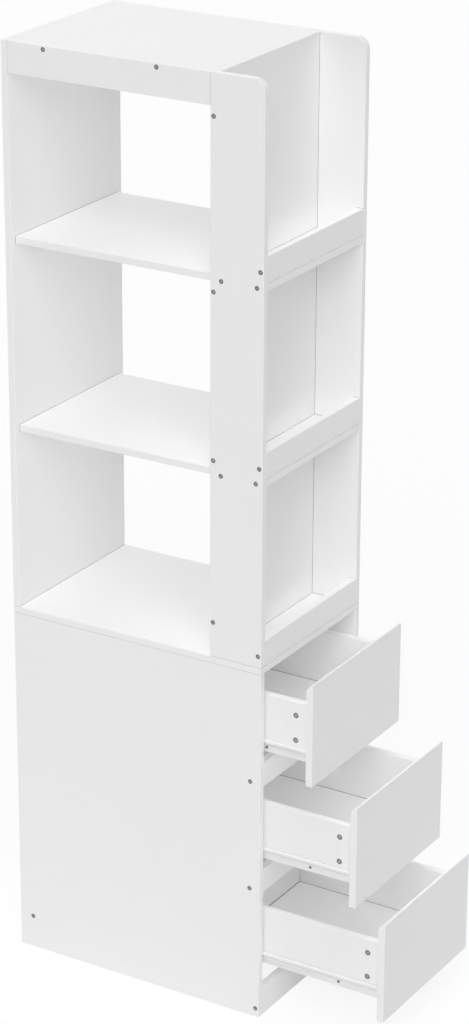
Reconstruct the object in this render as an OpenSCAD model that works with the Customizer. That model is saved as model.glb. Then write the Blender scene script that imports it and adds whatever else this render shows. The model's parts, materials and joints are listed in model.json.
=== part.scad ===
// Bathroom storage tower: a three-drawer base cabinet with an open shelf tower on it.
// Millimetres. X is the width, Y runs from the front to the back, Z is up.
// The origin is the middle of the plinth rail's underside, on the floor.

/* [Tower] */
// Overall width, across the outer faces
tower_w = 400; // [320:10:600]
// Overall depth, from the front plane to the rear face
tower_d = 600; // [540:10:800]
// Thickness of every carcass board and drawer front
board_t = 15; // [14:1:18]

/* [Open shelves] */
// Clear height of each of the three bays over the base
bay_h = 385; // [280:5:450]
// Height of the two top rails that cover the top board's long edges
top_rail_h = 65; // [30:5:120]

/* [Front cubbies] */
// Clear depth of the cubbies, from the front plane to the divider
cubby_d = 105; // [70:5:150]
// Height of the guard rails
guard_rail_h = 55; // [40:5:120]
// Radius of the rounded top front corners of the side boards
corner_r = 25; // [5:1:50]

/* [Base cabinet] */
// Height of the plinth rail
plinth_h = 65; // [40:5:110]
// Height of the lower two drawer fronts
lower_front_h = 225; // [200:1:260]
// Height of the top drawer front
top_front_h = 225; // [200:1:260]
// Finger gap between two drawer fronts
finger_gap = 19.5; // [16:0.5:35]
// Width of the 45 degree bevel that fingers reach behind, along each front's top rear edge
grip_bevel = 10.5; // [2:0.5:13]
// Gap under the lowest front and over the highest one
end_gap = 3; // [2:0.5:6]
// Gap at each end of a front
front_side_gap = 2.5; // [1.5:0.5:5]
// Height of the two rails behind the finger gaps
mid_rail_h = 55; // [36:1:70]
// How far a mid rail reaches down behind the front under it
mid_rail_lap = 21.5; // [8:0.5:25]
// Gap between a closed front and a mid rail
closed_gap = 1; // [0.5:0.5:3]
// Height of the rear rail
rear_rail_h = 55; // [30:1:62]
// Height of the rear rail's lower edge over the floor
rear_rail_lift = 47; // [20:1:50]
// From the rear face to the rear rail
rear_inset = 24.5; // [10:0.5:60]
// Thickness of the base's back panel
base_back_t = 3; // [2.5:0.5:6]

/* [Drawers] */
// How far the top drawer stands open
open_1 = 110; // [0:5:300]
// How far the middle drawer stands open
open_2 = 215; // [0:5:300]
// How far the bottom drawer stands open
open_3 = 285; // [0:5:300]
// Length of the drawer sides
drawer_side_l = 395; // [360:5:480]
// Height of the drawer sides
drawer_side_h = 126; // [90:1:135]
// From a front's lower edge up to the drawer sides' lower edge
drawer_side_lift = 50; // [30:1:60]
// Thickness of the drawer sides and back
drawer_board_t = 15; // [14:1:18]
// Thickness of the drawer bottom
bottom_t = 3; // [2.5:0.5:6]
// From the drawer sides' lower edge up to the bottom
bottom_lift = 4; // [3:0.5:10]
// Depth of the grooves that hold the bottoms and the base's back
groove_depth = 6; // [4:0.5:8]

/* [Runners] */
// Room beside the drawer for a pair of runners
runner_gap = 12.5; // [12:0.5:16]
// Thickness of the runner steel
steel_t = 1.2; // [1:0.1:1.5]
// From the drawer side's lower edge up to the track
track_lift = 18.5; // [18:0.5:22]
// Height of the track
track_h = 7.5; // [5:0.5:14]
// Width of the lip under the drawer side
lip_w = 10; // [6:1:12]
// How much longer a cabinet runner is than a drawer side
runner_spare = 5; // [0:1:20]
// From the front plane to the cabinet runners
runner_setback = 17; // [16:1:30]
// Radius of the rollers
roller_r = 8.5; // [7:0.5:8.5]
// Width of the rollers
roller_w = 6; // [4:0.5:6]
// Radius of the roller axles
axle_r = 2.5; // [2:0.1:3]

/* [Fasteners] */
// Length of the carcass screws
screw_l = 50; // [40:1:60]
// Diameter of the carcass screws' shank
screw_d = 6; // [5:0.5:7]
// Diameter of the carcass screws' head
screw_head_d = 10; // [9:0.5:12]
// Diameter of the wooden dowels
dowel_d = 8; // [6:1:10]
// Length of the wooden dowels
dowel_l = 30; // [25:1:40]
// Diameter of the drawers' cam locks
cam_d = 12; // [10:1:15]
// From a front's rear face to the cams' centres
cam_setback = 29; // [20:1:40]
// From the drawer sides' lower edge up to the lower cams
cam_lift = 41; // [30:1:50]
// Distance between a side's two cams
cam_pitch = 55; // [30:1:65]
// Diameter of the cams' connecting bolts
bolt_d = 6; // [5:0.5:7]
// Diameter of the small runner screws' shank
small_screw_d = 3; // [2.5:0.5:4]
// Length of the cabinet runners' screws
small_screw_l = 12; // [10:1:13]

/* [Hidden] */
// Clearances
screw_fit = 0.05;
groove_fit = 0.15;
bottom_play = 0.7;
axle_fit = 0.05;
running_gap = 0.3;
bolt_fit = 0.2;

// Places across the width and the depth
half_w = tower_w / 2;
in_x = half_w - board_t;
front_y = -board_t / 2;
rear_y = front_y + tower_d;
back_front_y = rear_y - board_t;
divider_y = front_y + cubby_d;
divider_rear_y = divider_y + board_t;
mid_rail_y = front_y + board_t + closed_gap;
rear_rail_y = rear_y - rear_inset - board_t;
base_back_y = rear_rail_y + board_t;

// Levels
bay_pitch = bay_h + board_t;
base_h = plinth_h + 2 * end_gap + 2 * lower_front_h + top_front_h + 2 * finger_gap + board_t;
base_side_h = base_h - board_t;
tower_h = base_h + 3 * bay_pitch;
function floor_z(level) = base_h + level * bay_pitch;
function front_h(drawer) = drawer == 1 ? top_front_h : lower_front_h;
function front_z(drawer) = plinth_h + end_gap + (3 - drawer) * (lower_front_h + finger_gap);
function open_by(drawer) = drawer == 1 ? open_1 : drawer == 2 ? open_2 : open_3;
function mid_rail_z(drawer) = front_z(drawer) + front_h(drawer) - mid_rail_lap;

// Drawer box, measured from its front's lower edge and front face
box_x = in_x - runner_gap;
box_in_x = box_x - drawer_board_t;
box_y = board_t;
box_end_y = box_y + drawer_side_l;
side_top_z = drawer_side_lift + drawer_side_h;
bottom_z = drawer_side_lift + bottom_lift;
bottom_top_z = bottom_z + bottom_t;
cam_depth = 12;
cam_slot_w = 1.5;
cam_slot_l = 7;
bolt_in_front = 10;
bolt_short_of_cam = 2;
back_screw_z = [drawer_side_lift + 35, drawer_side_lift + 95];

// Runners, as heights over the drawer side's lower edge and distances out from its face
runner_start = 2;
runner_short = 1;
end_plate_l = 30;
axle_setback = 14;
track_to_channel = 2.3;
channel_floor = track_lift - track_to_channel;
rear_roller_z = channel_floor + running_gap + roller_r;
roof_gap = 0.7;
channel_roof = rear_roller_z + roller_r + roof_gap;
front_roller_z = track_lift - running_gap - roller_r;
front_plate_l = 28;
plate_margin = 5.5;
channel_lip_u = 2.6;
track_to_web = 3.8;
track_out = runner_gap - steel_t - track_to_web;
rear_roller_u = 2.2;
rivet_t = 0.8;
rivet_r = 3.8;
rivet_gap = 0.2;
roller_to_web = 0.4;
front_roller_u = runner_gap - steel_t - roller_to_web - roller_w;
front_axle_y = runner_setback + front_plate_l / 2;
small_head_d = 6;
small_head_t = 1.2;
screw_to_groove = 1;
drawer_screw_l = steel_t + drawer_board_t - groove_depth - screw_to_groove;
drawer_runner_screws_y = [95, drawer_side_l - 60];
drawer_runner_screw_z = 9.5;
cabinet_runner_l = drawer_side_l + runner_spare;
cabinet_runner_screws_y = [50, cabinet_runner_l / 2, cabinet_runner_l - 35];

// Carcass screws, as [y, z] on the outer side faces
screw_head_h = 2;
screw_taper_h = 2.5;
socket_r = 2.3;
socket_depth = 3;
hole_spare = 2;
top_rail_screw_front = 120;
top_rail_screw_rear = 85;
top_rail_screws = [
    [divider_rear_y + top_rail_screw_front, tower_h - board_t / 2],
    [back_front_y - top_rail_screw_rear, tower_h - board_t / 2]
];
divider_screw_low = 75;
divider_screw_high = 85;
divider_screw_pitch = (tower_h - base_h - divider_screw_low - divider_screw_high) / 3;
divider_screws = [
    for (i = [0:3]) [divider_y + board_t / 2, base_h + divider_screw_low + i * divider_screw_pitch]
];
cubby_screws_y = [front_y + 15, divider_y - 10];
cubby_screws = [
    for (level = [1, 2]) for (y = cubby_screws_y) [y, floor_z(level) - board_t / 2]
];
guard_screw_lift = 25;
guard_screws = [for (level = [0:2]) [front_y + board_t / 2, floor_z(level) + guard_screw_lift]];
mid_rail_screws = [
    for (drawer = [2, 3]) [mid_rail_y + board_t / 2, mid_rail_z(drawer) + mid_rail_h / 2]
];
plinth_screw_lift = 20;
plinth_screws = [[front_y + board_t / 2, plinth_screw_lift]];
rear_rail_screws = [[rear_rail_y + board_t / 2, rear_rail_lift + rear_rail_h / 2]];
side_board_screws = concat(divider_screws, cubby_screws, guard_screws);
base_side_screws = concat(mid_rail_screws, plinth_screws, rear_rail_screws);
shelf_screw_inset = 60;
divider_foot_inset = 125;

// Dowels
dowel_shallow = 10;
shelf_dowel_inset = 50;
base_side_dowels_y = [front_y + 90, (front_y + rear_y) / 2, rear_y - 90];
side_board_dowels_y = [front_y + 30, front_y + 60];

$fn = 48;

drawer_names = [
    "front", "side_left", "side_right", "back", "bottom", "runner_left", "runner_right",
    "rear_rollers", "cam_locks", "screws"
];
carcass_names = [
    "back_panel", "top_board", "top_rail_left", "top_rail_right", "main_shelf_upper",
    "main_shelf_lower", "divider", "side_board_left", "side_board_right", "cubby_shelf_upper",
    "cubby_shelf_lower", "guard_rail_upper", "guard_rail_middle", "guard_rail_lower", "base_top",
    "base_side_left", "base_side_right", "plinth_rail", "mid_rail_upper", "mid_rail_lower",
    "rear_rail", "base_back", "cabinet_runners_left", "cabinet_runners_right",
    "front_rollers_1", "front_rollers_2", "front_rollers_3", "carcass_screws", "wood_dowels",
    "runner_screws"
];

// A box from its lowest to its highest corner.
module slab(low, high) {
    translate(low) cube(high - low);
}

// Extrudes an XZ outline from y0 to y1.
module along_y(y0, y1) {
    translate([0, y1, 0]) rotate([90, 0, 0]) linear_extrude(y1 - y0) children();
}

// A countersunk carcass screw: head face at z = 0, shank along +Z.
module carcass_screw() {
    color("dimgray") difference() {
        union() {
            cylinder(d = screw_head_d, h = screw_head_h);
            translate([0, 0, screw_head_h])
                cylinder(d1 = screw_head_d, d2 = screw_d, h = screw_taper_h);
            cylinder(d = screw_d, h = screw_l);
        }
        translate([0, 0, -1]) cylinder(r = socket_r, h = socket_depth + 1, $fn = 6);
    }
}

// The hole that a carcass screw sits in, open past its head.
module carcass_screw_hole() {
    translate([0, 0, -1]) cylinder(d = screw_head_d + 2 * screw_fit, h = screw_head_h + 1);
    translate([0, 0, screw_head_h])
        cylinder(d1 = screw_head_d + 2 * screw_fit, d2 = screw_d + 2 * screw_fit, h = screw_taper_h);
    cylinder(d = screw_d + 2 * screw_fit, h = screw_l + hole_spare);
}

// Puts its child on both outer side faces at each [y, z], pointing inwards.
module at_side_faces(places, face_x = half_w) {
    for (side = [-1, 1])
        for (place = places)
            translate([side * face_x, place[0], place[1]])
                rotate([0, -90 * side, 0])
                    children();
}

// Puts its child on the rear face of the back panel, behind the shelves and the top board.
module at_shelf_screws() {
    for (side = [-1, 1])
        for (level = [1:3])
            translate([side * (in_x - shelf_screw_inset), rear_y, floor_z(level) - board_t / 2])
                rotate([90, 0, 0])
                    children();
}

// Puts its child under the base top, below the divider and the back panel.
module at_foot_screws() {
    for (side = [-1, 1])
        for (y = [divider_y + board_t / 2, rear_y - board_t / 2])
            translate([side * (in_x - divider_foot_inset), y, base_side_h])
                children();
}

// A dowel along +Z with its middle part across z = 0, shallow end below.
module dowel(fit = 0) {
    translate([0, 0, -dowel_shallow - fit])
        cylinder(d = dowel_d + 2 * fit, h = dowel_l + 2 * fit);
}

// Puts its child where shelves and the top board meet the divider's rear face.
module at_shelf_dowels() {
    for (side = [-1, 1])
        for (level = [1:3])
            translate([
                side * (in_x - shelf_dowel_inset), divider_rear_y, floor_z(level) - board_t / 2
            ])
                rotate([-90, 0, 0])
                    children();
}

// Puts its child where the side boards stand on the base top.
module at_side_board_dowels() {
    for (side = [-1, 1])
        for (y = side_board_dowels_y)
            translate([side * (half_w - board_t / 2), y, base_h])
                children();
}

// Puts its child where the base top lies on the base sides, pointing down.
module at_base_side_dowels() {
    for (side = [-1, 1])
        for (y = base_side_dowels_y)
            translate([side * (half_w - board_t / 2), y, base_side_h])
                rotate([180, 0, 0])
                    children();
}

// Upper part

module back_panel() {
    color("whitesmoke") difference() {
        slab([-half_w, back_front_y, base_h], [half_w, rear_y, tower_h]);
        at_shelf_screws() carcass_screw_hole();
        at_foot_screws() carcass_screw_hole();
    }
}

// A shelf or the top board, between the divider and the back panel, with its top at z.
module deep_board(z) {
    color("whitesmoke") difference() {
        slab([-in_x, divider_rear_y, z - board_t], [in_x, back_front_y, z]);
        at_shelf_screws() carcass_screw_hole();
        at_shelf_dowels() dowel(screw_fit);
        at_side_faces(top_rail_screws) carcass_screw_hole();
    }
}

module top_rail(side) {
    color("whitesmoke") difference() {
        translate([side < 0 ? -half_w : in_x, divider_rear_y, tower_h - top_rail_h])
            cube([board_t, back_front_y - divider_rear_y, top_rail_h]);
        at_side_faces(top_rail_screws) carcass_screw_hole();
    }
}

module divider() {
    color("whitesmoke") difference() {
        slab([-in_x, divider_y, base_h], [in_x, divider_rear_y, tower_h]);
        at_side_faces(divider_screws) carcass_screw_hole();
        at_foot_screws() carcass_screw_hole();
        at_shelf_dowels() dowel(screw_fit);
    }
}

// The outline of a side board, seen from the side: Y across, Z up.
module side_board_outline() {
    rounded_y = front_y + corner_r;
    rounded_z = tower_h - corner_r;
    union() {
        translate([front_y, base_h]) square([cubby_d + board_t, rounded_z - base_h]);
        translate([rounded_y, base_h]) square([cubby_d + board_t - corner_r, tower_h - base_h]);
        translate([rounded_y, rounded_z]) circle(r = corner_r);
    }
}

module side_board(side) {
    color("whitesmoke") difference() {
        translate([side < 0 ? -half_w : in_x, 0, 0])
            rotate([90, 0, 90])
                linear_extrude(board_t)
                    side_board_outline();
        at_side_faces(side_board_screws) carcass_screw_hole();
        at_side_board_dowels() dowel(screw_fit);
    }
}

module cubby_shelf(level) {
    color("whitesmoke") difference() {
        slab([-in_x, front_y, floor_z(level) - board_t], [in_x, divider_y, floor_z(level)]);
        at_side_faces(cubby_screws) carcass_screw_hole();
    }
}

module guard_rail(level) {
    color("gainsboro") difference() {
        slab([-in_x, front_y, floor_z(level)], [in_x, front_y + board_t, floor_z(level) + guard_rail_h]);
        at_side_faces(guard_screws) carcass_screw_hole();
    }
}

// Base cabinet

module base_top() {
    color("whitesmoke") difference() {
        slab([-half_w, front_y, base_side_h], [half_w, rear_y, base_h]);
        at_foot_screws() carcass_screw_hole();
        at_side_board_dowels() dowel(screw_fit);
        at_base_side_dowels() dowel(screw_fit);
    }
}

module base_side(side) {
    color("whitesmoke") difference() {
        translate([side < 0 ? -half_w : in_x, front_y, 0]) cube([board_t, tower_d, base_side_h]);
        slab(
            [-in_x - groove_depth, base_back_y, rear_rail_lift],
            [in_x + groove_depth, base_back_y + base_back_t + groove_fit, base_h]
        );
        at_side_faces(base_side_screws) carcass_screw_hole();
        at_base_side_dowels() dowel(screw_fit);
        at_cabinet_runner_screws() small_screw(small_screw_l, screw_fit);
    }
}

module plinth_rail() {
    color("gainsboro") difference() {
        slab([-in_x, front_y, 0], [in_x, front_y + board_t, plinth_h]);
        at_side_faces(plinth_screws) carcass_screw_hole();
    }
}

// The rail behind the gap over the front of the given drawer.
module mid_rail(drawer) {
    z = mid_rail_z(drawer);
    color("gainsboro") difference() {
        slab([-in_x, mid_rail_y, z], [in_x, mid_rail_y + board_t, z + mid_rail_h]);
        at_side_faces(mid_rail_screws) carcass_screw_hole();
    }
}

module rear_rail() {
    color("gainsboro") difference() {
        slab(
            [-in_x, rear_rail_y, rear_rail_lift],
            [in_x, rear_rail_y + board_t, rear_rail_lift + rear_rail_h]
        );
        at_side_faces(rear_rail_screws) carcass_screw_hole();
    }
}

module base_back() {
    edge_x = in_x + groove_depth - groove_fit;
    color("gainsboro") slab(
        [-edge_x, base_back_y, rear_rail_lift],
        [edge_x, base_back_y + base_back_t, base_side_h]
    );
}

module carcass_screws() {
    at_side_faces(top_rail_screws) carcass_screw();
    at_side_faces(side_board_screws) carcass_screw();
    at_side_faces(base_side_screws) carcass_screw();
    at_shelf_screws() carcass_screw();
    at_foot_screws() carcass_screw();
}

module wood_dowels() {
    color("burlywood") {
        at_shelf_dowels() dowel();
        at_side_board_dowels() dowel();
        at_base_side_dowels() dowel();
    }
}

// Drawers

// Moves a drawer's own frame to where the drawer stands.
module at_drawer(drawer) {
    translate([0, front_y - open_by(drawer), front_z(drawer)]) children();
}

// The cams' centres on the outer faces of a drawer's sides.
cam_places = [
    for (i = [0, 1]) [box_y + cam_setback, drawer_side_lift + cam_lift + i * cam_pitch]
];
back_screws = [for (z = back_screw_z) [box_end_y - drawer_board_t / 2, z]];

module cam_lock() {
    color("silver") difference() {
        cylinder(d = cam_d, h = cam_depth);
        for (turn = [45, 135])
            rotate([0, 0, turn])
                translate([-cam_slot_l / 2, -cam_slot_w / 2, -1])
                    cube([cam_slot_l, cam_slot_w, cam_slot_w + 1]);
        translate([0, 0, drawer_board_t / 2])
            rotate([90, 0, 0])
                cylinder(d = bolt_d + 2 * bolt_fit, h = cam_d);
    }
}

// A connecting bolt, from inside the front to inside the cam.
module at_bolts() {
    for (side = [-1, 1])
        for (place = cam_places)
            translate([side * (box_x - drawer_board_t / 2), box_y - bolt_in_front, place[1]])
                rotate([-90, 0, 0])
                    children();
}

module bolt(fit = 0) {
    translate([0, 0, -2 * fit])
        cylinder(d = bolt_d + 2 * fit, h = bolt_in_front + cam_setback - bolt_short_of_cam + 4 * fit);
}

// A small screw: its head's underside at z = 0, shank along +Z.
module small_screw(length, fit = 0) {
    translate([0, 0, -small_head_t]) cylinder(d = small_head_d, h = small_head_t);
    cylinder(d = small_screw_d + 2 * fit, h = length + 4 * fit);
}

module at_drawer_runner_screws() {
    for (side = [-1, 1])
        for (y = drawer_runner_screws_y)
            translate([side * (box_x + steel_t), box_y + y, drawer_side_lift + drawer_runner_screw_z])
                rotate([0, -90 * side, 0])
                    children();
}

// The outline of a drawer front, seen from the side: Y across, Z up.
module drawer_front_outline(height) {
    polygon([
        [0, 0],
        [board_t, 0],
        [board_t, height - grip_bevel],
        [board_t - grip_bevel, height],
        [0, height]
    ]);
}

module drawer_front(drawer) {
    half_l = in_x - front_side_gap;
    color("lightgray") difference() {
        translate([-half_l, 0, 0])
            rotate([90, 0, 90])
                linear_extrude(2 * half_l)
                    drawer_front_outline(front_h(drawer));
        drawer_bottom_groove();
        at_bolts() bolt(screw_fit);
    }
}

// The groove round the drawer bottom, cut from the sides and the front.
module drawer_bottom_groove() {
    slab(
        [-box_in_x - groove_depth, box_y - groove_depth, bottom_z],
        [box_in_x + groove_depth, box_end_y + 1, bottom_top_z + bottom_play]
    );
}

module drawer_side(side) {
    color("whitesmoke") difference() {
        translate([side < 0 ? -box_x : box_in_x, box_y, drawer_side_lift])
            cube([drawer_board_t, drawer_side_l, drawer_side_h]);
        drawer_bottom_groove();
        at_side_faces(cam_places, box_x) translate([0, 0, -1])
            cylinder(d = cam_d + 2 * screw_fit, h = cam_depth + 1);
        at_bolts() bolt(screw_fit);
        at_side_faces(back_screws, box_x) carcass_screw_hole();
        at_drawer_runner_screws() small_screw(drawer_screw_l, screw_fit);
    }
}

module drawer_back() {
    color("whitesmoke") difference() {
        slab(
            [-box_in_x, box_end_y - drawer_board_t, bottom_top_z + bottom_play],
            [box_in_x, box_end_y, side_top_z]
        );
        at_side_faces(back_screws, box_x) carcass_screw_hole();
    }
}

module drawer_bottom() {
    edge_x = box_in_x + groove_depth - groove_fit;
    color("white") slab(
        [-edge_x, box_y - groove_depth + groove_fit, bottom_z],
        [edge_x, box_end_y, bottom_top_z]
    );
}

module drawer_cam_locks() {
    at_side_faces(cam_places, box_x) cam_lock();
}

module drawer_screws() {
    color("silver") at_bolts() bolt();
    color("silver") at_drawer_runner_screws() small_screw(drawer_screw_l);
    at_side_faces(back_screws, box_x) carcass_screw();
}

// Runners

// The folded section of a drawer runner: u out from the side's face, z over its lower edge.
module drawer_runner_section() {
    track_top = track_lift + track_h;
    polygon([
        [-lip_w, -steel_t],
        [steel_t, -steel_t],
        [steel_t, track_lift],
        [track_out, track_lift],
        [track_out, track_top],
        [0, track_top],
        [0, track_top - steel_t],
        [track_out - steel_t, track_top - steel_t],
        [track_out - steel_t, track_lift + steel_t],
        [0, track_lift + steel_t],
        [0, 0],
        [-lip_w, 0]
    ]);
}

// A roller's axle with its rivet head, along +X from x = 0.
module axle(length) {
    rotate([0, 90, 0]) {
        cylinder(r = axle_r, h = length);
        translate([0, 0, length - rivet_t]) cylinder(r = rivet_r, h = rivet_t);
    }
}

// The right drawer runner in its own frame: x out from the side's face.
module drawer_runner_shape() {
    start_y = box_y + runner_start;
    end_y = box_end_y - runner_short;
    axle_l = rear_roller_u + roller_w + rivet_gap + rivet_t - steel_t;
    difference() {
        union() {
            along_y(start_y, end_y) drawer_runner_section();
            slab([0, end_y - end_plate_l, 0], [steel_t, end_y, rear_roller_z + plate_margin]);
        }
        slab(
            [steel_t, end_y - end_plate_l, track_lift - 1],
            [track_out + 1, end_y + 1, track_lift + track_h + 1]
        );
        translate([-box_x, 0, -drawer_side_lift])
            at_drawer_runner_screws()
                small_screw(drawer_screw_l, screw_fit);
    }
    translate([steel_t, end_y - axle_setback, rear_roller_z]) axle(axle_l);
}

module drawer_runner(side) {
    color("gainsboro")
        mirror([side < 0 ? 1 : 0, 0, 0])
            translate([box_x, 0, drawer_side_lift])
                drawer_runner_shape();
}

// A roller with its bore, along +X from x = 0.
module roller() {
    rotate([0, 90, 0]) difference() {
        cylinder(r = roller_r, h = roller_w);
        translate([0, 0, -1]) cylinder(r = axle_r + axle_fit, h = roller_w + 2);
    }
}

module drawer_rear_rollers() {
    y = box_end_y - runner_short - axle_setback;
    color("white")
        for (side = [0, 1])
            mirror([side, 0, 0])
                translate([box_x + rear_roller_u, y, drawer_side_lift + rear_roller_z])
                    roller();
}

// A right cabinet runner in its own frame: x out from the drawer side's face to the base side,
// y from the front plane, z over the drawer side's lower edge.
module cabinet_runner_shape() {
    web_u = runner_gap - steel_t;
    start_y = runner_setback;
    end_y = start_y + cabinet_runner_l;
    channel_y = start_y + front_plate_l;
    roof_top = channel_roof + steel_t;
    axle_l = web_u - front_roller_u + rivet_gap + rivet_t;
    difference() {
        union() {
            slab([web_u, channel_y, channel_floor - steel_t], [runner_gap, end_y, roof_top]);
            slab([web_u, start_y, front_roller_z - plate_margin], [runner_gap, channel_y, roof_top]);
            slab([channel_lip_u, channel_y, channel_floor - steel_t], [runner_gap, end_y, channel_floor]);
            slab([channel_lip_u, channel_y, channel_roof], [runner_gap, end_y, roof_top]);
        }
        for (y = cabinet_runner_screws_y)
            translate([web_u, start_y + y, rear_roller_z])
                rotate([0, 90, 0])
                    small_screw(small_screw_l, screw_fit);
    }
    translate([web_u, front_axle_y, front_roller_z]) mirror([1, 0, 0]) axle(axle_l);
}

module at_cabinet_runner(drawer) {
    translate([box_x, front_y, front_z(drawer) + drawer_side_lift]) children();
}

module cabinet_runners(side) {
    color("gainsboro")
        mirror([side < 0 ? 1 : 0, 0, 0])
            for (drawer = [1:3])
                at_cabinet_runner(drawer) cabinet_runner_shape();
}

module front_rollers(drawer) {
    color("white")
        for (side = [0, 1])
            mirror([side, 0, 0])
                at_cabinet_runner(drawer)
                    translate([front_roller_u, front_axle_y, front_roller_z])
                        roller();
}

module at_cabinet_runner_screws() {
    for (side = [0, 1])
        mirror([side, 0, 0])
            for (drawer = [1:3])
                at_cabinet_runner(drawer)
                    for (y = cabinet_runner_screws_y)
                        translate([runner_gap - steel_t, runner_setback + y, rear_roller_z])
                            rotate([0, 90, 0])
                                children();
}

module runner_screws() {
    color("silver") at_cabinet_runner_screws() small_screw(small_screw_l);
}

back_panel();
deep_board(tower_h);  // top_board
top_rail(-1);  // top_rail_left
top_rail(1);  // top_rail_right
deep_board(floor_z(2));  // main_shelf_upper
deep_board(floor_z(1));  // main_shelf_lower
divider();
side_board(-1);  // side_board_left
side_board(1);  // side_board_right
cubby_shelf(2);  // cubby_shelf_upper
cubby_shelf(1);  // cubby_shelf_lower
guard_rail(2);  // guard_rail_upper
guard_rail(1);  // guard_rail_middle
guard_rail(0);  // guard_rail_lower
base_top();
base_side(-1);  // base_side_left
base_side(1);  // base_side_right
plinth_rail();
mid_rail(2);  // mid_rail_upper
mid_rail(3);  // mid_rail_lower
rear_rail();
base_back();
cabinet_runners(-1);  // cabinet_runners_left
cabinet_runners(1);  // cabinet_runners_right
carcass_screws();
wood_dowels();
runner_screws();
for (drawer = [1:3]) {
    own = str("drawer_", drawer, "_");
    front_rollers(drawer);
    at_drawer(drawer) drawer_front(drawer);
    at_drawer(drawer) drawer_side(-1);
    at_drawer(drawer) drawer_side(1);
    at_drawer(drawer) drawer_back();
    at_drawer(drawer) drawer_bottom();
    at_drawer(drawer) drawer_runner(-1);
    at_drawer(drawer) drawer_runner(1);
    at_drawer(drawer) drawer_rear_rollers();
    at_drawer(drawer) drawer_cam_locks();
    at_drawer(drawer) drawer_screws();
}
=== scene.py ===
import json
import math

import bmesh
import bpy
import numpy
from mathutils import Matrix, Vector


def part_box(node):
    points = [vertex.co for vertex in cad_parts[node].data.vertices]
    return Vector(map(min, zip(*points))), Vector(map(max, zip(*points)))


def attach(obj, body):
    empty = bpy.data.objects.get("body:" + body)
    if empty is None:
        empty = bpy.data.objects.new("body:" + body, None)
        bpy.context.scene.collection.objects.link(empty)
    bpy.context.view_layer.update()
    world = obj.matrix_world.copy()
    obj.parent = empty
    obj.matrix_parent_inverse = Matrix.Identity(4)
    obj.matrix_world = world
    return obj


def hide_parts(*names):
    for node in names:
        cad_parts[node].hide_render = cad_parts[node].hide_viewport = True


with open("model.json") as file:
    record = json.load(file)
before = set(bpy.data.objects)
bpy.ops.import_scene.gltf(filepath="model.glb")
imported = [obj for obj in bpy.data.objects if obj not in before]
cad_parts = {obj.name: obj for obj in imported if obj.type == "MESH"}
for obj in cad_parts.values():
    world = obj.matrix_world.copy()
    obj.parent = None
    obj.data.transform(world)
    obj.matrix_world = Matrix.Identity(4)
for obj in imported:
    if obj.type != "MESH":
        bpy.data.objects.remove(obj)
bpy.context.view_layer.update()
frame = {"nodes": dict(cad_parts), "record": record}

bl_info = {
    "name": "Storage tower finisher",
    "version": (1, 0, 0),
    "blender": (4, 5, 0),
    "location": "3D View > Sidebar > Tower",
    "description": "Finishes a white storage tower with drawers and open shelves",
    "category": "Object",
}

RECORD = frame["record"]
NODES = frame["nodes"]
SLOT_OF = {part["node"]: part["material_slot"] for part in RECORD["subparts"]}
BODY_OF = {
    node: body
    for body, nodes in RECORD["behaviour"]["bodies"].items()
    for node in nodes
}
BOX_OF = {node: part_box(node) for node in SLOT_OF}
DRAWERS = (1, 2, 3)

IMAGE_WIDTH = 469
IMAGE_HEIGHT = 1024
SENSOR_MM = 36.0
# How far the camera sees, in metres
CLIP_END = 200.0

WHITE = (1.0, 1.0, 1.0, 1.0)
SKY_TINT = (0.99, 0.99, 1.0, 1.0)

# Places in a piece's list of finishes, after the one that covers the rest
SECOND = 1
# The third place holds painted shade, a dark finish on inner corners and under the
# tracks
PAINTED_SHADE = 2

# Lengths in metres. Points closer than this are one
MERGE = 1e-6
# Edges shorter than this are dissolved once a runner is rounded
SHORTEST = 1e-5
# An edge is on the outside where no point lies further out by more than this
OUTSIDE = 1e-5
# Pieces meet across a gap of less than this
MEETING_GAP = 0.001
# They share a space with two sides that are longer than this
MEETING_LENGTH = 0.0005
# How far in front of a face a neighbour is looked for
LOOK_AHEAD = 0.002
# How far past a neighbour such a point may lie, in widths of the joint line
AHEAD_WIDTHS = 1.5
# How far from the space that two pieces share an edge of their corner may lie
CORNER_PLAY = 0.0001
# The edges that are rounded are longer than this along a groove
GROOVE_LENGTH = 0.1
# And longer than this on the runner steel
FOLD_LENGTH = 0.02
# Least width of the faces on both sides of a fold
FOLD_WIDTH = 0.003
# The track's lower fold lies more than this above a runner's lowest point
TRACK_LIFT = 0.01

# Faces closer in angle than this are one flat face
FLAT_ANGLE = math.radians(0.4)
# An edge that turns by more than this is sharp
SHARP_ANGLE = math.radians(40.0)
# Shading breaks at an edge that turns by more than this
SMOOTH_ANGLE = math.radians(35.0)
# A face looks along an axis where its normal's share of it is more than this
ALONG_AXIS = 0.999
# Shade is painted where a face looks down by over the first and sideways by over the
# second
LOOKS_DOWN = 0.3
LOOKS_SIDEWAYS = 0.1

ROLLER_STEPS = 48


# Sizes and colours that a user would change


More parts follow.
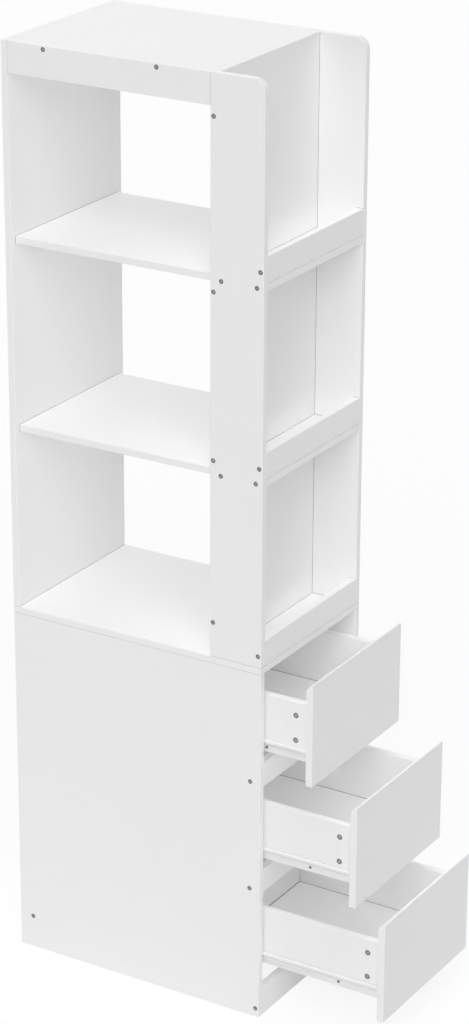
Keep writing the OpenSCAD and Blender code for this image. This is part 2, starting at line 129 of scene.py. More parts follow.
class TowerSizes(bpy.types.PropertyGroup):
    """Sizes of the details that the finish adds"""

    edge_round: bpy.props.FloatProperty(
        name="Edge rounding",
        description="Radius on the banded edges of the boards",
        default=0.0012,
        unit="LENGTH",
    )
    groove_round: bpy.props.FloatProperty(
        name="Groove rounding",
        description="Radius on the lips of the grooves that hold the thin panels",
        default=0.0005,
        unit="LENGTH",
    )
    thin_edge_round: bpy.props.FloatProperty(
        name="Thin edge rounding",
        description="Radius on the edges of the thin panels",
        default=0.0004,
        unit="LENGTH",
    )
    # Width of the painted shade strip on each board along an inner corner
    joint_line: bpy.props.FloatProperty(
        name="Joint line",
        description="Width of the dark line on each board along an inner corner",
        default=0.0004,
        unit="LENGTH",
    )
    fold_round: bpy.props.FloatProperty(
        name="Fold rounding",
        description="Outer radius of the folds in the runner steel",
        default=0.0017,
        unit="LENGTH",
    )
    cut_round: bpy.props.FloatProperty(
        name="Cut edge rounding",
        description="Radius on the cut edges and inside the folds of the runner steel",
        default=0.00045,
        unit="LENGTH",
    )
    cam_round: bpy.props.FloatProperty(
        name="Cam edge rounding",
        description="Radius on the rims and slots of the cam locks",
        default=0.0003,
        unit="LENGTH",
    )
    roller_round: bpy.props.FloatProperty(
        name="Roller rounding",
        description="Radius on the edges of the rollers",
        default=0.0003,
        unit="LENGTH",
    )
    roller_dish: bpy.props.FloatProperty(
        name="Roller dish",
        description="Depth of the ring moulded into each face of a roller",
        default=0.0013,
        unit="LENGTH",
    )
    roller_hub: bpy.props.FloatProperty(
        name="Roller hub",
        description="Radius of the raised hub round a roller's axle",
        default=0.0044,
        unit="LENGTH",
    )
    roller_rim: bpy.props.FloatProperty(
        name="Roller rim",
        description="Thickness of a roller's raised rim",
        default=0.0016,
        unit="LENGTH",
    )
    rivet_reach: bpy.props.FloatProperty(
        name="Axle finish reach",
        description="How far from a roller's axis the bare axle and rivet reach",
        default=0.0042,
        unit="LENGTH",
    )
    dowel_chamfer: bpy.props.FloatProperty(
        name="Dowel chamfer",
        description="Width of the chamfer on the ends of the dowels",
        default=0.0008,
        unit="LENGTH",
    )
    head_round: bpy.props.FloatProperty(
        name="Screw head rounding",
        description="Radius on the rims and sockets of the screw heads",
        default=0.00035,
        unit="LENGTH",
    )


class TowerColours(bpy.types.PropertyGroup):
    """Colours of the finishes"""

    board: bpy.props.FloatVectorProperty(
        name="Board",
        description="White melamine face of the boards",
        subtype="COLOR",
        default=(0.926, 0.926, 0.929),
    )
    band: bpy.props.FloatVectorProperty(
        name="Edge band",
        description="White band on the boards' edges",
        subtype="COLOR",
        default=(0.929, 0.929, 0.932),
    )
    panel: bpy.props.FloatVectorProperty(
        name="Thin panel",
        description="White lacquer on the thin fibre board",
        subtype="COLOR",
        default=(0.915, 0.917, 0.92),
    )
    # Painted shade: near black for the strips along inner corners between boards and
    # under the runners' tracks, where shade falls
    joint: bpy.props.FloatVectorProperty(
        name="Joint",
        description="Dust in the joints between boards, and dirt on the tracks",
        subtype="COLOR",
        default=(0.12, 0.12, 0.12),
    )
    runner: bpy.props.FloatVectorProperty(
        name="Runner",
        description="White coating on the runner steel",
        subtype="COLOR",
        default=(0.89, 0.892, 0.895),
    )
    roller: bpy.props.FloatVectorProperty(
        name="Roller",
        description="White plastic of the rollers",
        subtype="COLOR",
        default=(0.80, 0.795, 0.78),
    )
    zinc: bpy.props.FloatVectorProperty(
        name="Zinc",
        description="Zinc plate on the rollers' axles and the cabinet runners' screws",
        subtype="COLOR",
        default=(0.52, 0.53, 0.54),
    )
    screw: bpy.props.FloatVectorProperty(
        name="Screw",
        description="Dull grey plate on the carcass screws",
        subtype="COLOR",
        default=(0.21, 0.21, 0.215),
    )
    cam: bpy.props.FloatVectorProperty(
        name="Cam lock",
        description="Dull zinc of the cam locks and the drawers' screws",
        subtype="COLOR",
        default=(0.24, 0.24, 0.245),
    )
    # Painted highlight: a light metal for the sockets, slots and their walls, brighter
    # than the heads round them
    socket: bpy.props.FloatVectorProperty(
        name="Driven face",
        description="Bright metal in the sockets and slots, where the key wears it",
        subtype="COLOR",
        default=(0.58, 0.585, 0.59),
    )
    dowel: bpy.props.FloatVectorProperty(
        name="Dowel",
        description="Beech of the dowels",
        subtype="COLOR",
        default=(0.56, 0.36, 0.19),
    )
    floor: bpy.props.FloatVectorProperty(
        name="Floor",
        description="White of the studio floor",
        subtype="COLOR",
        default=(0.86, 0.86, 0.86),
    )


class TowerStudio(bpy.types.PropertyGroup):
    """The camera and the lamps"""

    focal_px: bpy.props.FloatProperty(
        name="Focal length in pixels",
        description="Focal length as a number of image pixels",
        default=3212.1,
    )
    centre_px: bpy.props.FloatVectorProperty(
        name="Optical centre",
        description="Where the camera's axis meets the image, from its top left corner",
        size=2,
        default=(202.1, 518.2),
    )
    camera_place: bpy.props.FloatVectorProperty(
        name="Camera place",
        description="The camera's position in the tower's frame",
        subtype="TRANSLATION",
        unit="LENGTH",
        default=(-5.2032, -2.9818, 3.4804),
    )
    camera_yaw: bpy.props.FloatProperty(
        name="Camera yaw",
        description="Turn of the camera about the vertical, from looking along +Y",
        subtype="ANGLE",
        default=math.radians(-58.116),
    )
    camera_pitch: bpy.props.FloatProperty(
        name="Camera pitch",
        description="Tilt of the camera above the horizontal",
        subtype="ANGLE",
        default=math.radians(-22.043),
    )
    sky: bpy.props.FloatProperty(
        name="Soft light",
        description="Strength of the even light from all round",
        default=0.23,
    )
    lamp_spread: bpy.props.FloatProperty(
        name="Lamp spread",
        description="Angle that each lamp fills, seen from the tower",
        subtype="ANGLE",
        default=math.radians(50),
    )
    key: bpy.props.FloatProperty(
        name="Key light",
        description="Strength of the broad lamp on the front left",
        default=1.46,
    )
    key_turn: bpy.props.FloatVectorProperty(
        name="Key direction",
        description="Direction from the tower towards the key lamp",
        size=3,
        default=(-0.692, -0.399, 0.602),
    )
    top: bpy.props.FloatProperty(
        name="Top light",
        description="Strength of the broad lamp overhead",
        default=0.81,
    )
    top_turn: bpy.props.FloatVectorProperty(
        name="Top direction",
        description="Direction from the tower towards the top lamp",
        size=3,
        default=(0.0, -0.035, 0.999),
    )
    rear: bpy.props.FloatProperty(
        name="Rear light",
        description="Strength of the shadowless lamp for the far sides and insides",
        default=1.66,
    )
    rear_turn: bpy.props.FloatVectorProperty(
        name="Rear direction",
        description="Direction from the tower towards the rear lamp",
        size=3,
        default=(0.344, 0.905, 0.25),
    )
    floor_size: bpy.props.FloatProperty(
        name="Floor size",
        description="Length of the floor's sides",
        unit="LENGTH",
        default=60.0,
    )
    shadow_share: bpy.props.FloatProperty(
        name="Shadow on the floor",
        description="How much of the floor's own shading the camera sees",
        default=0.2,
        min=0.0,
        max=1.0,
    )


# Shader building


class Signal:
    """A value that varies over a surface. Arithmetic on it adds Math nodes."""

    def __init__(self, graph, socket):
        self.graph = graph
        self.socket = socket

    def maths(self, operation, *values):
        settings = {"operation": operation}
        return self.graph.node("ShaderNodeMath", settings, dict(enumerate(values)))

    def __add__(self, other):
        return self.maths("ADD", self, other)

    def __radd__(self, other):
        return self.maths("ADD", other, self)

    def __mul__(self, other):
        return self.maths("MULTIPLY", self, other)

    def either(self, other):
        return self.maths("MAXIMUM", self, other)


class Graph:
    """A node tree, emptied and then built node by node."""

    def __init__(self, owner):
        owner.use_nodes = True
        self.tree = owner.node_tree
        self.tree.nodes.clear()

    def node(self, kind, settings, inputs, output=0):
        """Adds a node, settings first and then sockets. Returns one of its outputs."""
        node = self.tree.nodes.new(kind)
        for name, value in settings.items():
            if name == "stops":
                for stop, (place, grey) in zip(node.color_ramp.elements, value):
                    stop.position = place
                    stop.color = (grey, grey, grey, 1.0)
            else:
                setattr(node, name, value)
        for name, value in inputs.items():
            if isinstance(value, Signal):
                self.tree.links.new(value.socket, node.inputs[name])
            else:
                node.inputs[name].default_value = value
        return Signal(self, node.outputs[output]) if node.outputs else None

    def blend(self, factor, first, second):
        """A colour between two colours."""
        inputs = {0: factor, 6: first, 7: second}
        return self.node("ShaderNodeMix", {"data_type": "RGBA"}, inputs, 2)

    def shaders(self, factor, first, second):
        """A shader between two shaders."""
        return self.node("ShaderNodeMixShader", {}, {0: factor, 1: first, 2: second})

    def white_rays(self):
        """One for camera, gloss and clear rays, which see white. Zero for others."""
        camera, gloss, clear = (
            self.node("ShaderNodeLightPath", {}, {}, f"Is {kind} Ray")
            for kind in ("Camera", "Glossy", "Transmission")
        )
        return camera.either(gloss).either(clear)


class Finish(Graph):
    """A material with one Principled surface."""

    def __init__(self, name):
        self.material = bpy.data.materials.new(name)
        super().__init__(self.material)

    def place(self):
        """The point on the piece, in metres, as drawn in the tower's own frame."""
        return self.node("ShaderNodeTexCoord", {}, {}, "Object")

    def stretched(self, scale):
        """The same point with each axis scaled, for patterns that run one way."""
        inputs = {"Vector": self.place(), "Scale": scale}
        return self.node("ShaderNodeMapping", {}, inputs)

    def noise(self, scale, detail=2.0, roughness=0.5, vector=None):
        inputs = {
            "Vector": vector or self.place(),
            "Scale": scale,
            "Detail": detail,
            "Roughness": roughness,
        }
        return self.node("ShaderNodeTexNoise", {}, inputs, "Fac")

    def surface(self, colour, rough, height, depth, **constants):
        """The surface shader, bumped by a height signal worth a depth in metres."""
        relief = {"Height": height, "Distance": depth}
        bump = self.node("ShaderNodeBump", {}, relief, "Normal")
        inputs = {"Base Color": colour, "Roughness": rough, "Normal": bump}
        inputs.update({SOCKETS[name]: value for name, value in constants.items()})
        return self.node("ShaderNodeBsdfPrincipled", {}, inputs)

    def done(self, shader):
        self.node("ShaderNodeOutputMaterial", {}, {"Surface": shader})
        return self.material


SOCKETS = {"metallic": "Metallic", "specular": "Specular IOR Level"}


def shade(rgb, factor):
    """An opaque colour, made lighter or darker."""
    return (rgb[0] * factor, rgb[1] * factor, rgb[2] * factor, 1.0)


def melamine(name, rgb):
    """White melamine paper: a fine pearl texture, a little uneven in tone and gloss."""
    finish = Finish(name)
    cloud = finish.noise(3.1, detail=3.0)
    pearl = finish.noise(1400.0, detail=2.0)
    speck = finish.noise(260.0, detail=4.0, roughness=0.7)
    colour = finish.blend(cloud, shade(rgb, 0.985), shade(rgb, 1.012))
    rough = 0.40 + cloud * 0.06 + speck * 0.06
    relief = pearl * 0.7 + speck * 0.3
    shader = finish.surface(colour, rough, relief, depth=0.00006, specular=0.35)
    return finish.done(shader)


def edge_band(name, rgb):
    """The plastic band on a board's edges: smoother, with a faint planed ripple."""
    finish = Finish(name)
    ripple = finish.noise(170.0, detail=1.0)
    grain = finish.noise(900.0, detail=2.0)
    colour = finish.blend(ripple, shade(rgb, 0.99), shade(rgb, 1.01))
    rough = 0.36 + ripple * 0.10
    relief = ripple * 0.5 + grain * 0.5
    shader = finish.surface(colour, rough, relief, depth=0.00004, specular=0.35)
    return finish.done(shader)


def lacquered_panel(name, rgb):
    """Thin fibre board under white lacquer, with the felted fibres just showing."""
    finish = Finish(name)
    along = finish.stretched((1.0, 0.35, 1.0))
    fibres = finish.noise(420.0, detail=5.0, roughness=0.65, vector=along)
    cloud = finish.noise(5.0, detail=2.0)
    colour = finish.blend(fibres, shade(rgb, 0.965), shade(rgb, 1.02))
    rough = 0.46 + cloud * 0.08 + fibres * 0.06
    shader = finish.surface(colour, rough, fibres, depth=0.00007, specular=0.3)
    return finish.done(shader)


def painted_shade_finish(name, rgb):
    """Painted shade: dark, matt lines where boards meet and under the tracks, a bit
    uneven.
    """
    finish = Finish(name)
    uneven = finish.noise(45.0, detail=3.0)
    colour = finish.blend(uneven, shade(rgb, 0.6), shade(rgb, 1.4))
    rough = 0.75 + uneven * 0.2
    shader = finish.surface(colour, rough, uneven, depth=0.0001, specular=0.1)
    return finish.done(shader)


def coated_steel(name, rgb):
    """White powder coat on folded steel: orange peel, and grey rub marks lengthwise."""
    finish = Finish(name)
    peel = finish.noise(620.0, detail=1.5)
    along = finish.stretched((1.0, 0.06, 1.0))
    rub = finish.noise(60.0, detail=4.0, roughness=0.6, vector=along)
    stops = ((0.56, 0.0), (0.78, 1.0))
    marks = finish.node("ShaderNodeValToRGB", {"stops": stops}, {"Fac": rub})
    colour = finish.blend(marks, shade(rgb, 1.0), shade(rgb, 0.86))
    rough = 0.28 + peel * 0.10 + marks * 0.12
    shader = finish.surface(colour, rough, peel, depth=0.00008, specular=0.5)
    return finish.done(shader)


def moulded_nylon(name, rgb):
    """Off-white nylon of the rollers, lightly soiled where they run."""
    finish = Finish(name)
    soil = finish.noise(240.0, detail=4.0, roughness=0.7)
    skin = finish.noise(1500.0, detail=1.0)
    colour = finish.blend(soil, shade(rgb, 1.03), shade(rgb, 0.90))
    rough = 0.34 + soil * 0.16
    shader = finish.surface(colour, rough, skin, depth=0.00003, specular=0.45)
    return finish.done(shader)


def plated(name, rgb, rough, worn):
    """Dull metal: a crystal mottle and a fine haze, in tone, gloss and relief."""
    finish = Finish(name)
    crystals = {"Vector": finish.place(), "Scale": 900.0}
    mottle = finish.node("ShaderNodeTexVoronoi", {}, crystals, "Distance")
    haze = finish.noise(380.0, detail=4.0, roughness=0.6)
    colour = finish.blend(haze, shade(rgb, 1.0 - worn), shade(rgb, 1.0 + worn))
    rough = rough + haze * 0.14 + mottle * 0.08
    relief = haze * 0.6 + mottle * 0.4
    shader = finish.surface(colour, rough, relief, depth=0.00003, metallic=1.0)
    return finish.done(shader)


def beech(name, rgb):
    """Beech dowel: pale wood with short dark flecks along the grain."""
    finish = Finish(name)
    along = finish.stretched((1.0, 1.0, 0.12))
    grain = finish.noise(700.0, detail=4.0, roughness=0.6, vector=along)
    colour = finish.blend(grain, shade(rgb, 0.78), shade(rgb, 1.15))
    rough = 0.55 + grain * 0.15
    shader = finish.surface(colour, rough, grain, depth=0.0001, specular=0.3)
    return finish.done(shader)


def material(name):
    """The named finish, made the first time that it is asked for."""
    found = bpy.data.materials.get(name)
    if found:
        return found
    colours = bpy.context.scene.tower_colours
    makers = {
        "board_face": lambda: melamine(name, colours.board),
        "board_band": lambda: edge_band(name, colours.band),
        "thin_panel_lacquer": lambda: lacquered_panel(name, colours.panel),
        # Painted shade for inner corners and under the tracks
        "joint_line": lambda: painted_shade_finish(name, colours.joint),
        "runner_coat": lambda: coated_steel(name, colours.runner),
        "roller_nylon": lambda: moulded_nylon(name, colours.roller),
        "zinc_plate": lambda: plated(name, colours.zinc, rough=0.30, worn=0.10),
        "dark_screw_plate": lambda: plated(name, colours.screw, rough=0.34, worn=0.18),
        "cast_zinc": lambda: plated(name, colours.cam, rough=0.42, worn=0.14),
        "bright_metal": lambda: plated(name, colours.socket, rough=0.42, worn=0.12),
        "beech_dowel": lambda: beech(name, colours.dowel),
    }
    return makers[name]()


# Mesh building


def join_flat_faces(mesh):
    """Joins faces in one plane and of one material."""
    bmesh.ops.dissolve_limit(
        mesh,
        angle_limit=FLAT_ANGLE,
        verts=mesh.verts,
        edges=mesh.edges,
        delimit={"MATERIAL"},
    )


def loose_copy(node):
    """A CAD node's mesh as a bmesh, with doubles merged and flat faces joined."""
    mesh = bmesh.new()
    mesh.from_mesh(NODES[node].data)
    bmesh.ops.remove_doubles(mesh, verts=mesh.verts, dist=MERGE)
    join_flat_faces(mesh)
    bmesh.ops.recalc_face_normals(mesh, faces=mesh.faces)
    return mesh


def within(point, low, high, reach):
    """Whether a point lies in a box, or closer to it than the reach on each axis."""
    return all(low[i] - reach <= point[i] <= high[i] + reach for i in range(3))


def touches(face, low, high, reach):
    """Whether a face's own box comes within reach of a box."""
    points = [vertex.co for vertex in face.verts]
    return all(
        max(point[i] for point in points) > low[i] - reach
        and min(point[i] for point in points) < high[i] + reach
        for i in range(3)
    )


def overlap(node, other):
    """The space that two nodes' boxes share. Low is above high across a gap."""
    (low, high), (other_low, other_high) = BOX_OF[node], BOX_OF[other]
    return Vector(map(max, low, other_low)), Vector(map(min, high, other_high))


def neighbours(node):
    """The boards and thin panels that a piece of the same body meets."""
    found = []
    for other, slot in SLOT_OF.items():
        if other == node or BODY_OF[other] != BODY_OF[node]:
            continue
        if slot not in ("board", "thin_panel"):
            continue
        low, high = overlap(node, other)
        reach = sorted(high - low)
        if reach[0] > -MEETING_GAP and reach[1] > MEETING_LENGTH:
            found.append(other)
    return found


def paint_shade_strip(mesh, node, other):
    """Cuts narrow strips along a piece's inner corners with another, and paints shade
    on them.
    """
    width = bpy.context.scene.tower_sizes.joint_line
    first, second = overlap(node, other)
    low, high = Vector(map(min, first, second)), Vector(map(max, first, second))
    near = [face for face in mesh.faces if touches(face, low, high, width)]
    parts = [part for face in near for part in (face, *face.edges, *face.verts)]
    # The keys of a dict keep their order, so that each run makes the same cuts
    geometry = dict.fromkeys(parts)
    for axis in range(3):
        across = Vector((0.0, 0.0, 0.0))
        across[axis] = 1.0
        for place in (low[axis] - width, high[axis] + width):
            cut = bmesh.ops.bisect_plane(
                mesh,
                geom=list(geometry),
                dist=MERGE,
                plane_co=across * place,
                plane_no=across,
            )
            geometry = dict.fromkeys(part for part in cut["geom"] if part.is_valid)
    other_low, other_high = BOX_OF[other]
    for face in geometry:
        if not isinstance(face, bmesh.types.BMFace):
            continue
        face.normal_update()
        middle = face.calc_center_median()
        ahead = middle + face.normal * LOOK_AHEAD
        faces_other = within(ahead, other_low, other_high, width * AHEAD_WIDTHS)
        if faces_other and within(middle, low, high, width):
            # The strip gets the painted shade finish
            face.material_index = PAINTED_SHADE


def paint_joint_shade(mesh, node):
    """Paints shade lines along a piece's inner corners, once its edges are rounded."""
    for other in neighbours(node):
        paint_shade_strip(mesh, node, other)
    join_flat_faces(mesh)


def open_edges(edges, node):
    """Those edges that aren't hidden in an inner corner with a neighbour."""
    width = bpy.context.scene.tower_sizes.joint_line
    met = [(*overlap(node, other), *BOX_OF[other]) for other in neighbours(node)]

    def buried(edge):
        middle = (edge.verts[0].co + edge.verts[1].co) / 2
        ahead = [middle + face.normal * LOOK_AHEAD for face in edge.link_faces]
        return any(
            within(middle, low, high, CORNER_PLAY)
            and all(within(point, *other_box, width * AHEAD_WIDTHS) for point in ahead)
            for low, high, *other_box in met
        )

    return [edge for edge in edges if edge.is_valid and not buried(edge)]


def is_sharp(edge):
    return edge.is_manifold and edge.calc_face_angle(0.0) > SHARP_ANGLE


def outer_edges(mesh):
    """The sharp edges on the outside of a convex board, without those of its holes."""
    points = numpy.array([vertex.co for vertex in mesh.verts])
    found = []
    for edge in mesh.edges:
        if not is_sharp(edge):
            continue
        outward = edge.link_faces[0].normal + edge.link_faces[1].normal
        middle = (edge.verts[0].co + edge.verts[1].co) / 2
        reach = (points @ outward).max()
        if reach - outward.dot(middle) < OUTSIDE:
            found.append(edge)
    return found


def long_edges(mesh, least):
    """The sharp edges that are longer than the least length."""
    sharp = filter(is_sharp, mesh.edges)
    return [edge for edge in sharp if edge.calc_length() > least]


def groove_lips(mesh, outer):
    """The long edges along a board's grooves, where the cut meets a face."""
    inner = [edge for edge in long_edges(mesh, GROOVE_LENGTH) if edge not in outer]
    return [edge for edge in inner if edge.is_convex]


def ease(mesh, edges, radius, segments=3):
    """Rounds edges by the given radius."""
    bmesh.ops.bevel(
        mesh,
        geom=edges,
        offset=radius,
        offset_type="OFFSET",
        segments=segments,
        profile=0.5,
        affect="EDGES",
        clamp_overlap=True,
        material=-1,
    )


def flat_faces(mesh, axis):
    """Gives the faces that look along an axis the second finish."""
    for face in mesh.faces:
        if abs(face.normal[axis]) > ALONG_AXIS:
            face.material_index = SECOND


def thickness_axis(node):
    """The axis along which a board is thinnest."""
    low, high = BOX_OF[node]
    size = high - low
    return min(range(3), key=lambda axis: size[axis])


def finish_piece(name, mesh, node, finishes):
    """Turns a bmesh into a piece that stands for a CAD node and rides on its body."""
    data = bpy.data.meshes.new(name)
    mesh.to_mesh(data)
    mesh.free()
    for finish in finishes:
        data.materials.append(material(finish))
    piece = bpy.data.objects.new(name, data)
    bpy.context.scene.collection.objects.link(piece)
    for polygon in data.polygons:
        polygon.use_smooth = True
    data.set_sharp_from_angle(angle=SMOOTH_ANGLE)
    level = piece.modifiers.new("level_normals", "WEIGHTED_NORMAL")
    level.keep_sharp = True
    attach(piece, BODY_OF[node])
    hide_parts(node)


def add_board(node):
    """A banded board: its faces in melamine, and its edges rounded and banded."""
    sizes = bpy.context.scene.tower_sizes
    mesh = loose_copy(node)
    outer = outer_edges(mesh)
    lips = groove_lips(mesh, outer)
    ease(mesh, open_edges(outer, node), sizes.edge_round)
    ease(mesh, open_edges(lips, node), sizes.groove_round, segments=2)
    flat_faces(mesh, thickness_axis(node))
    # Painted shade along the board's inner corners
    paint_joint_shade(mesh, node)
    finishes = ("board_band", "board_face", "joint_line")
    finish_piece(f"{node}_board", mesh, node, finishes)


def add_thin_panel(node):
    """A lacquered panel, with one finish on its faces and its rounded edges."""
    sizes = bpy.context.scene.tower_sizes
    mesh = loose_copy(node)
    edges = open_edges(outer_edges(mesh), node)
    ease(mesh, edges, sizes.thin_edge_round, segments=2)
    # Painted shade along the panel's inner corners
    paint_joint_shade(mesh, node)
    finishes = ("thin_panel_lacquer", "thin_panel_lacquer", "joint_line")
    finish_piece(f"{node}_panel", mesh, node, finishes)


def roller_axis(node):
    """The line that a pair of rollers turns on, as its y and z."""
    low, high = BOX_OF[node]
    middle = (low + high) / 2
    return middle.y, middle.z


def is_fold(edge):
    """Whether a runner's long edge is the outside of a fold, between two wide faces."""
    least_area = edge.calc_length() * FOLD_WIDTH
    wide = all(face.calc_area() > least_area for face in edge.link_faces)
    return edge.is_convex and wide


def paint_track_shade(mesh, node):
    """Paints shade on the underside of the track's lower fold."""
    foot = BOX_OF[node][0].z + TRACK_LIFT
    mesh.normal_update()
    for face in mesh.faces:
        slants = face.normal.z < -LOOKS_DOWN and abs(face.normal.x) > LOOKS_SIDEWAYS
        if slants and face.calc_center_median().z > foot:
            # Painted shade on the faces under the fold
            face.material_index = PAINTED_SHADE


def add_runner(node, roller_nodes):
    """A folded runner, with rounded folds and cut edges, and axles of bare zinc."""
    sizes = bpy.context.scene.tower_sizes
    mesh = loose_copy(node)
    axes = [roller_axis(roller) for roller in roller_nodes]
    for face in mesh.faces:
        middle = face.calc_center_median()
        nearest = min(math.hypot(middle.y - y, middle.z - z) for y, z in axes)
        if nearest < sizes.rivet_reach:
            face.material_index = SECOND
    edges = open_edges(long_edges(mesh, FOLD_LENGTH), node)
    folds = [edge for edge in edges if is_fold(edge)]
    ease(mesh, folds, sizes.fold_round, segments=4)
    rest = [edge for edge in edges if edge.is_valid and edge not in folds]
    ease(mesh, rest, sizes.cut_round, segments=2)
    bmesh.ops.dissolve_degenerate(mesh, dist=SHORTEST, edges=mesh.edges)
    # Painted shade under the track's lower fold and along its joint with the drawer
    # side
    if node.startswith("drawer_"):
        paint_track_shade(mesh, node)
        paint_joint_shade(mesh, node)
    finishes = ("runner_coat", "zinc_plate", "joint_line")
    finish_piece(f"{node}_steel", mesh, node, finishes)


def pocket_faces(mesh):
    """The floors of the sockets and slots, and the walls round them."""
    floors = [
        face
        for face in mesh.faces
        if all(is_sharp(edge) and not edge.is_convex for edge in face.edges)
    ]
    edges = {edge for floor in floors for edge in floor.edges}
    return {face for edge in edges for face in edge.link_faces}


def add_fasteners(node, finish, radius):
    """Screws or cam locks with rounded rims, and a painted highlight of light metal in
    the sockets and slots.
    """
    mesh = loose_copy(node)
    # Painted highlight on the sockets, slots and their walls
    for face in pocket_faces(mesh):
        face.material_index = SECOND
    rims = [edge for edge in mesh.edges if is_sharp(edge) and edge.is_convex]
    ease(mesh, rims, radius, segments=2)
    finish_piece(f"{node}_metal", mesh, node, (finish, "bright_metal"))


def add_dowels(node):
    """Dowels with chamfered ends."""
    sizes = bpy.context.scene.tower_sizes
    mesh = loose_copy(node)
    ends = list(filter(is_sharp, mesh.edges))
    ease(mesh, ends, sizes.dowel_chamfer, segments=1)
    finish_piece(f"{node}_beech", mesh, node, ("beech_dowel",))


def add_rollers(node):
    """A pair of rollers, each with a tread, a raised rim and a hub round its bore."""
    sizes = bpy.context.scene.tower_sizes
    low, high = BOX_OF[node]
    y, z = roller_axis(node)
    points = [vertex.co for vertex in NODES[node].data.vertices]
    bore = min(math.hypot(point.y - y, point.z - z) for point in points)
    inner = min(point.x for point in points if point.x > 0)
    tread = (high.z - low.z) / 2
    rim = tread - sizes.roller_rim
    section = (
        (bore, 0.0),
        (sizes.roller_hub, 0.0),
        (sizes.roller_hub, sizes.roller_dish),
        (rim, sizes.roller_dish),
        (rim, 0.0),
        (tread, 0.0),
    )
    mesh = bmesh.new()
    near = [(inner + x, y, z + radius) for radius, x in section]
    far = [(high.x - x, y, z + radius) for radius, x in reversed(section)]
    corners = [mesh.verts.new(point) for point in near + far]
    outline = [mesh.edges.new(pair) for pair in zip(corners, corners[1:] + corners[:1])]
    bmesh.ops.spin(
        mesh,
        geom=corners + outline,
        cent=(0.0, y, z),
        axis=(1.0, 0.0, 0.0),
        angle=math.tau,
        steps=ROLLER_STEPS,
        use_merge=True,
        use_duplicate=False,
    )
    whole = mesh.verts[:] + mesh.edges[:] + mesh.faces[:]
    bmesh.ops.mirror(mesh, geom=whole, merge_dist=MERGE, axis="X")
    bmesh.ops.remove_doubles(mesh, verts=mesh.verts, dist=MERGE)
    bmesh.ops.recalc_face_normals(mesh, faces=mesh.faces)
    ease(mesh, list(filter(is_sharp, mesh.edges)), sizes.roller_round, segments=2)
    finish_piece(f"{node}_nylon", mesh, node, ("roller_nylon",))


# Operators


def carcass_boards():
    """The nodes of the boards that belong to no drawer."""
    return [
        part["node"]
        for part in RECORD["subparts"]
        if part["material_slot"] == "board" and not part["node"].startswith("drawer_")
    ]


class TOWER_OT_carcass(bpy.types.Operator):
    """Finish the boards of the base cabinet and of the tower"""

    bl_idname = "tower.carcass"
    bl_label = "Carcass boards"

    def execute(self, context):
        for node in carcass_boards():
            add_board(node)
        add_thin_panel("base_back")
        return {"FINISHED"}


class TOWER_OT_drawers(bpy.types.Operator):
    """Finish the boards and the bottoms of the drawers"""

    bl_idname = "tower.drawers"
    bl_label = "Drawer boards"

    def execute(self, context):
        for drawer in DRAWERS:
            for name in ("front", "side_left", "side_right", "back"):
                add_board(f"drawer_{drawer}_{name}")
            add_thin_panel(f"drawer_{drawer}_bottom")
        return {"FINISHED"}


class TOWER_OT_runners(bpy.types.Operator):
    """Finish the folded runners of the drawers and of the cabinet"""

    bl_idname = "tower.runners"
    bl_label = "Runners"

    def execute(self, context):
        front_rollers = [f"front_rollers_{drawer}" for drawer in DRAWERS]
        for side in ("left", "right"):
            add_runner(f"cabinet_runners_{side}", front_rollers)
            for drawer in DRAWERS:
                rear_rollers = [f"drawer_{drawer}_rear_rollers"]
                add_runner(f"drawer_{drawer}_runner_{side}", rear_rollers)
        return {"FINISHED"}


class TOWER_OT_rollers(bpy.types.Operator):
    """Finish the rollers of the drawers and of the cabinet"""

    bl_idname = "tower.rollers"
    bl_label = "Rollers"

    def execute(self, context):
        for drawer in DRAWERS:
            add_rollers(f"drawer_{drawer}_rear_rollers")
            add_rollers(f"front_rollers_{drawer}")
        return {"FINISHED"}


class TOWER_OT_fasteners(bpy.types.Operator):
    """Finish the screws, cam locks and dowels"""

    bl_idname = "tower.fasteners"
    bl_label = "Fasteners"

    def execute(self, context):
        sizes = context.scene.tower_sizes
        small_round = sizes.head_round / 2
        add_fasteners("carcass_screws", "dark_screw_plate", sizes.head_round)
        add_fasteners("runner_screws", "zinc_plate", small_round)
        add_dowels("wood_dowels")
        for drawer in DRAWERS:
            add_fasteners(f"drawer_{drawer}_cam_locks", "cast_zinc", sizes.cam_round)
            add_fasteners(f"drawer_{drawer}_screws", "cast_zinc", small_round)
        return {"FINISHED"}


def studio_world(studio):
    """An even soft light that the camera and reflections see as plain white."""
    world = bpy.data.worlds.new("studio_world")
    graph = Graph(world)
    light, white = (
        graph.node("ShaderNodeBackground", {}, {"Color": colour, "Strength": strength})
        for colour, strength in ((SKY_TINT, studio.sky), (WHITE, 1.0))
    )
    shader = graph.shaders(graph.white_rays(), light, white)
    graph.node("ShaderNodeOutputWorld", {}, {"Surface": shader})
    bpy.context.scene.world = world


def studio_floor(name, rgb, shadow_share):
    """A matt floor that looks white to the camera, apart from part of its shading."""
    finish = Finish(name)
    seen = finish.white_rays()
    grain = finish.noise(90.0, detail=3.0)
    lit = finish.blend(grain, shade(rgb, 0.99), shade(rgb, 1.01))
    colour = finish.blend(seen, lit, WHITE)
    rough = 0.85 + grain * 0.1
    matt = finish.surface(colour, rough, grain, depth=0.0001, specular=0.1)
    white = finish.node("ShaderNodeEmission", {}, {"Color": WHITE, "Strength": 1.0})
    return finish.done(finish.shaders(seen * (1.0 - shadow_share), matt, white))


def add_lamp(studio, name):
    """A far, broad lamp with the strength and direction of the given name."""
    lamp = bpy.data.lights.new(name, "SUN")
    lamp.energy = getattr(studio, name)
    lamp.angle = studio.lamp_spread
    holder = bpy.data.objects.new(name, lamp)
    turn = Vector(getattr(studio, f"{name}_turn"))
    holder.rotation_euler = turn.to_track_quat("Z", "Y").to_euler()
    bpy.context.scene.collection.objects.link(holder)
    return lamp


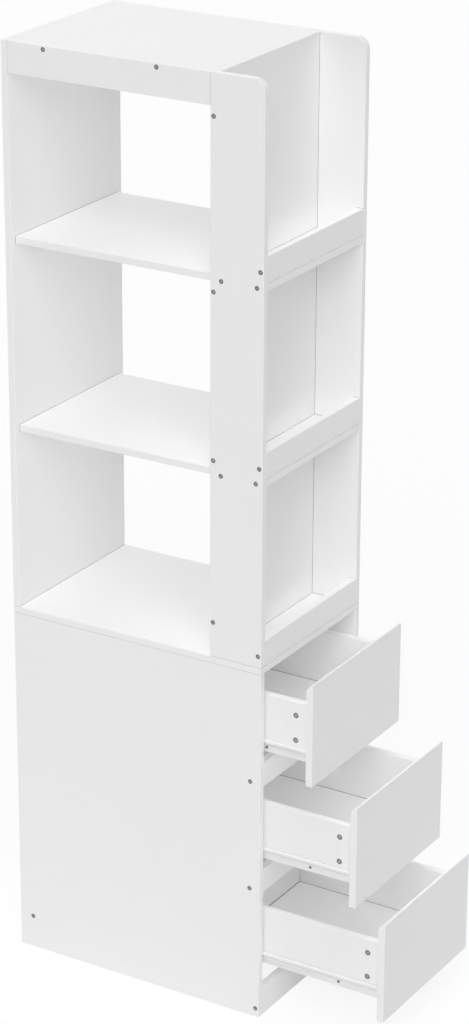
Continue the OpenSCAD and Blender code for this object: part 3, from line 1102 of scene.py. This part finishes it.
class TOWER_OT_stage(bpy.types.Operator):
    """Make the floor, the soft light and the camera"""

    bl_idname = "tower.stage"
    bl_label = "Stage"

    def execute(self, context):
        scene = context.scene
        studio = scene.tower_studio
        scene.view_settings.view_transform = "Standard"
        studio_world(studio)

        mesh = bmesh.new()
        half = studio.floor_size / 2
        bmesh.ops.create_grid(mesh, x_segments=1, y_segments=1, size=half)
        data = bpy.data.meshes.new("floor")
        mesh.to_mesh(data)
        mesh.free()
        colour = scene.tower_colours.floor
        finish = studio_floor("studio_floor", colour, studio.shadow_share)
        data.materials.append(finish)
        floor = bpy.data.objects.new("floor", data)
        scene.collection.objects.link(floor)

        add_lamp(studio, "key")
        add_lamp(studio, "top")
        add_lamp(studio, "rear").use_shadow = False

        camera_data = bpy.data.cameras.new("camera")
        camera_data.sensor_width = SENSOR_MM
        camera_data.lens = studio.focal_px * SENSOR_MM / IMAGE_HEIGHT
        camera_data.shift_x = (IMAGE_WIDTH / 2 - studio.centre_px[0]) / IMAGE_HEIGHT
        camera_data.shift_y = (studio.centre_px[1] - IMAGE_HEIGHT / 2) / IMAGE_HEIGHT
        camera_data.clip_end = CLIP_END
        camera = bpy.data.objects.new("camera", camera_data)
        camera.location = studio.camera_place
        tilt = math.pi / 2 + studio.camera_pitch
        camera.rotation_euler = (tilt, 0.0, studio.camera_yaw)
        scene.collection.objects.link(camera)
        scene.camera = camera
        return {"FINISHED"}


class TOWER_PT_panel(bpy.types.Panel):
    """Lists the steps that finish the tower"""

    bl_idname = "TOWER_PT_panel"
    bl_label = "Storage tower"
    bl_space_type = "VIEW_3D"
    bl_region_type = "UI"
    bl_category = "Tower"

    def draw(self, context):
        for group in ("tower_sizes", "tower_colours", "tower_studio"):
            settings = getattr(context.scene, group)
            box = self.layout.box()
            for name in settings.__annotations__:
                box.prop(settings, name)
        for step in STEPS:
            self.layout.operator(step.bl_idname)


GROUPS = {
    "tower_sizes": TowerSizes,
    "tower_colours": TowerColours,
    "tower_studio": TowerStudio,
}
STEPS = (
    TOWER_OT_carcass,
    TOWER_OT_drawers,
    TOWER_OT_runners,
    TOWER_OT_rollers,
    TOWER_OT_fasteners,
    TOWER_OT_stage,
)


def register():
    for group in GROUPS.values():
        bpy.utils.register_class(group)
    for name, group in GROUPS.items():
        setattr(bpy.types.Scene, name, bpy.props.PointerProperty(type=group))
    for step in STEPS:
        bpy.utils.register_class(step)
    bpy.utils.register_class(TOWER_PT_panel)


def unregister():
    bpy.utils.unregister_class(TOWER_PT_panel)
    for step in reversed(STEPS):
        bpy.utils.unregister_class(step)
    for name, group in GROUPS.items():
        delattr(bpy.types.Scene, name)
        bpy.utils.unregister_class(group)


def main():
    register()
    for step in STEPS:
        group, name = step.bl_idname.split(".")
        getattr(getattr(bpy.ops, group), name)()


if __name__ == "__main__":
    main()
